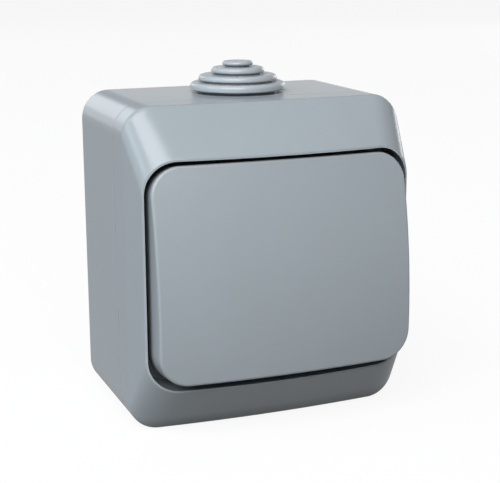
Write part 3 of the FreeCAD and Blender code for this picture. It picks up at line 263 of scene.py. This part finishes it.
# what every finish has, unless its own dictionary says otherwise
plainLook = {
    "ior": 1.5, "metal": 0.0,
    "stretch": (1, 1, 1), "fineScale": 5200, "longScale": 900, "longShare": 0.3,
    "mottle": 0.05, "mottleScale": 45,
    "rubAndHighlight": 0.5, "rubAndHighlightWidth": 0.0006, "rubAndHighlightColor": (0.5, 0.53, 0.56),
    "dust": 0.06, "dustRough": 0.4, "dustColor": (0.62, 0.61, 0.58),
    "roughSwing": 0.12, "bump": 0.25, "bumpDepth": 0.00002,
    "paintedShade": 0.75, "paintedShadeReach": 0.004, "paintedShadeColor": (0.035, 0.042, 0.045),
}
looks = {
    # bluish grey plastic of the cover, with a low gloss and paler edges that are partly a
    # painted highlight
    "greyPlastic": {
        "color": (0.292, 0.331, 0.358), "rough": 0.21, "ior": 1.44, "roughSwing": 0.06,
        "rubAndHighlight": 0.9},
    # the same on the box, with less painted crevice shade on the top face around the grommet
    "boxPlastic": {
        "color": (0.292, 0.331, 0.358), "rough": 0.20, "ior": 1.44, "roughSwing": 0.06,
        "rubAndHighlight": 0.9, "paintedShadeReach": 0.0010},
    # the same on the rocker, with a faint grain drawn sideways
    "rockerPlastic": {
        "color": (0.292, 0.331, 0.358), "rough": 0.38, "ior": 1.45, "roughSwing": 0.28,
        "rubAndHighlight": 0.9, "stretch": (0.04, 1, 1), "longScale": 1500, "longShare": 2.2,
        "bump": 0.5},
    "greyElastomer": {
        "color": (0.345, 0.385, 0.415), "rough": 0.25, "ior": 1.47, "fineScale": 3800,
        "paintedShadeReach": 0.0014, "bump": 0.3, "bumpDepth": 0.00004,
        "rubAndHighlightColor": (0.55, 0.58, 0.60), "dust": 0.12},
    "blackElastomer": {
        "color": (0.022, 0.022, 0.024), "rough": 0.62, "rubAndHighlightColor": (0.06, 0.06, 0.065),
        "dust": 0.02, "bump": 0.5, "bumpDepth": 0.00005},
    "blackPlastic": {
        "color": (0.035, 0.035, 0.038), "rough": 0.5, "rubAndHighlightColor": (0.10, 0.10, 0.10),
        "dust": 0.02, "bump": 0.5, "bumpDepth": 0.00004},
    "palePlastic": {
        "color": (0.68, 0.68, 0.63), "rough": 0.42, "rubAndHighlightColor": (0.8, 0.8, 0.76),
        "dust": 0.02},
    "zincPlate": {
        "color": (0.56, 0.56, 0.53), "rough": 0.3, "metal": 1.0, "mottle": 0.3,
        "mottleScale": 700, "rubAndHighlight": 0.8, "rubAndHighlightWidth": 0.0002, "rubAndHighlightColor": (0.75, 0.74, 0.72),
        "dust": 0.0, "stretch": (1, 0.1, 1), "longShare": 1.0, "roughSwing": 0.3},
    "springWire": {
        "color": (0.42, 0.42, 0.41), "rough": 0.24, "metal": 1.0, "mottle": 0.2,
        "mottleScale": 900, "rubAndHighlight": 0.0, "dust": 0.0},
    "rolledBrass": {
        "color": (0.66, 0.47, 0.20), "rough": 0.32, "metal": 1.0, "mottle": 0.3,
        "mottleScale": 300, "rubAndHighlight": 0.8, "rubAndHighlightWidth": 0.0002, "rubAndHighlightColor": (0.85, 0.68, 0.36),
        "dust": 0.0, "stretch": (1, 1, 0.08), "longShare": 1.2, "roughSwing": 0.3},
    "contactSilver": {
        "color": (0.74, 0.73, 0.70), "rough": 0.28, "metal": 1.0, "mottle": 0.25,
        "mottleScale": 900, "rubAndHighlight": 0.5, "rubAndHighlightWidth": 0.0002, "rubAndHighlightColor": (0.9, 0.9, 0.88),
        "dust": 0.0},
}
finishes = {name: makeFinish(name, {**plainLook, **look}) for name, look in looks.items()}

finishOfNode = {
    "rear_box": "boxPlastic", "front_cover": "greyPlastic", "rocker_plate": "rockerPlastic",
    "cable_entry_grommet": "greyElastomer", "cover_seal": "blackElastomer",
    "aperture_seal": "blackElastomer", "cover_screws": "zincPlate",
    "mechanism_screws": "zincPlate", "terminal_screws": "zincPlate",
    "earth_terminal_screw": "zincPlate", "terminal_clamps": "zincPlate",
    "plunger_spring": "springWire", "mechanism_base": "blackPlastic",
    "mechanism_frame": "palePlastic", "rocker_cradle": "palePlastic",
    "plunger": "palePlastic", "common_contact": "rolledBrass",
    "upper_fixed_contact": "rolledBrass", "lower_fixed_contact": "rolledBrass",
    "contact_bridge": "rolledBrass", "earth_terminal": "rolledBrass",
    "fixed_contact_tips": "contactSilver", "moving_contact_tips": "contactSilver",
}
for name, finish in finishOfNode.items():
    nodes[name].data.materials.clear()
    nodes[name].data.materials.append(finishes[finish])
print("materials placed:", len(finishes))


# world, floor and lamps
def seenRays(tree, straight, mirrored):
    # one share for rays straight from the camera, another for mirrored ones or through glass
    path = addNode(tree, "ShaderNodeLightPath")
    bent = mathNode(tree, "ADD", path.outputs["Is Glossy Ray"],
                    path.outputs["Is Transmission Ray"], clamp=True)
    direct = mathNode(tree, "MULTIPLY", path.outputs["Is Camera Ray"], straight)
    return mathNode(tree, "ADD", direct, mathNode(tree, "MULTIPLY", bent, mirrored), clamp=True)


studioWorld = {
    "fadeFrom": 0.05, "fadeTo": 0.25,   # height of a ray where the white starts and ends to fade
    "ceiling": 0.15,                    # what is mirrored above that
    "roomFill": 0.13,                   # faint light from all around
}


def buildWorld(settings):
    world = bpy.data.worlds.new("studioWorld")
    world.use_nodes = True
    scene.world = world
    tree = world.node_tree
    sky = tree.nodes["Background"]
    sky.inputs["Color"].default_value = (1, 1, 1, 1)
    # white as a background; mirrored, white at the horizon and greyer towards the ceiling
    where = addNode(tree, "ShaderNodeTexCoord")
    parts = addNode(tree, "ShaderNodeSeparateXYZ")
    fade = addNode(tree, "ShaderNodeMapRange", {
        "From Min": settings["fadeFrom"], "From Max": settings["fadeTo"],
        "To Min": 1.0, "To Max": settings["ceiling"]}, interpolation_type="SMOOTHSTEP")
    wire(tree,
         (where.outputs["Generated"], parts.inputs[0]),
         (parts.outputs["Z"], fade.inputs["Value"]))
    seen = seenRays(tree, 1.0, fade.outputs["Result"])
    strength = mathNode(tree, "MAXIMUM", seen, settings["roomFill"])
    wire(tree, (strength, sky.inputs["Strength"]))


studioFloor = {
    "reach": 3.0,          # from the middle to each side
    "seenGrey": 0.61,      # grey of the paper for the camera, on top of the grey that bounces
    "bounceGrey": 0.19,    # grey of the paper for light that bounces on to the object
    "whiteShare": 0.90,    # share of plain white for the camera, the rest keeps the shadow
    "mirrorShare": 0.40,   # the same for mirrored rays
}


def buildFloor(settings):
    reach, low = settings["reach"], cadBox[0][2]
    corners = [(-reach, -reach, low), (reach, -reach, low), (reach, reach, low),
               (-reach, reach, low)]
    mesh = bpy.data.meshes.new("studioFloor")
    mesh.from_pydata(corners, [], [(0, 1, 2, 3)])
    floor = bpy.data.objects.new("studioFloor", mesh)
    scene.collection.objects.link(floor)
    paper = bpy.data.materials.new("studioPaper")
    paper.use_nodes = True
    tree = paper.node_tree
    tree.nodes.clear()
    grey = mathNode(tree, "ADD", seenRays(tree, settings["seenGrey"], 0.0),
                    settings["bounceGrey"])
    whiteness = seenRays(tree, settings["whiteShare"], settings["mirrorShare"])
    matt = addNode(tree, "ShaderNodeBsdfDiffuse")
    white = addNode(tree, "ShaderNodeEmission", {"Color": (1, 1, 1, 1), "Strength": 1.0})
    mix = addNode(tree, "ShaderNodeMixShader")
    out = addNode(tree, "ShaderNodeOutputMaterial")
    wire(tree,
         (grey, matt.inputs["Color"]),
         (whiteness, mix.inputs[0]),
         (matt.outputs[0], mix.inputs[1]),
         (white.outputs[0], mix.inputs[2]),
         (mix.outputs[0], out.inputs["Surface"]))
    mesh.materials.append(paper)


# place and size in metres, power in watts; all aim at the middle of the object
lampAim = (0, -0.02, 0)
lamps = {
    "keySoftbox": {
        "place": (-0.74, -1.14, 1.28), "size": (1.7, 1.5), "power": 52.0, "color": (1, 1, 1)},
    "leftWall": {
        "place": (-1.30, 0.10, 0.88), "size": (0.76, 0.72), "power": 6.8,
        "color": (0.79, 0.90, 1)},
    "backRim": {
        "place": (-0.35, 1.50, 0.55), "size": (0.8, 0.6), "power": 2.2,
        "color": (0.94, 0.97, 1)},
    "rightFill": {
        "place": (1.20, 0.95, 0.30), "size": (0.8, 0.6), "power": 3.0,
        "color": (0.96, 0.98, 1)},
}


def buildLamp(name, settings):
    lamp = bpy.data.lights.new(name, "AREA")
    lamp.shape = "RECTANGLE"
    lamp.size, lamp.size_y = settings["size"]
    lamp.energy, lamp.color = settings["power"], settings["color"]
    holder = bpy.data.objects.new(name, lamp)
    holder.location = settings["place"]
    holder.rotation_mode = "QUATERNION"
    toAim = Vector(lampAim) - Vector(settings["place"])
    holder.rotation_quaternion = toAim.to_track_quat("-Z", "Y")
    scene.collection.objects.link(holder)


buildWorld(studioWorld)
buildFloor(studioFloor)
for name, settings in lamps.items():
    buildLamp(name, settings)
print("studio ready:", len(lamps), "lamps")


photoCamera = {
    "place": (-0.1178, -0.3294, 0.0791), "azimuth": 21.37, "elevation": 13.32, "roll": -0.32,
    "lens": 90.98, "sensor": 36.0, "nearest": 0.01, "farthest": 20,
}


def buildCamera(settings):
    turn, rise, roll = (math.radians(settings[key]) for key in ("azimuth", "elevation", "roll"))
    back = Vector((-math.sin(turn) * math.cos(rise), -math.cos(turn) * math.cos(rise),
                   math.sin(rise)))
    side = Vector((math.cos(turn), -math.sin(turn), 0))
    up = back.cross(side)
    right = side * math.cos(roll) + up * math.sin(roll)
    top = up * math.cos(roll) - side * math.sin(roll)
    data = bpy.data.cameras.new("photoCamera")
    data.lens, data.sensor_width = settings["lens"], settings["sensor"]
    data.clip_start, data.clip_end = settings["nearest"], settings["farthest"]
    camera = bpy.data.objects.new("photoCamera", data)
    attitude = Matrix((right, top, back)).transposed().to_4x4()
    camera.matrix_world = Matrix.Translation(settings["place"]) @ attitude
    scene.collection.objects.link(camera)
    scene.camera = camera


buildCamera(photoCamera)
scene.view_settings.view_transform = "Standard"
print("camera ready")
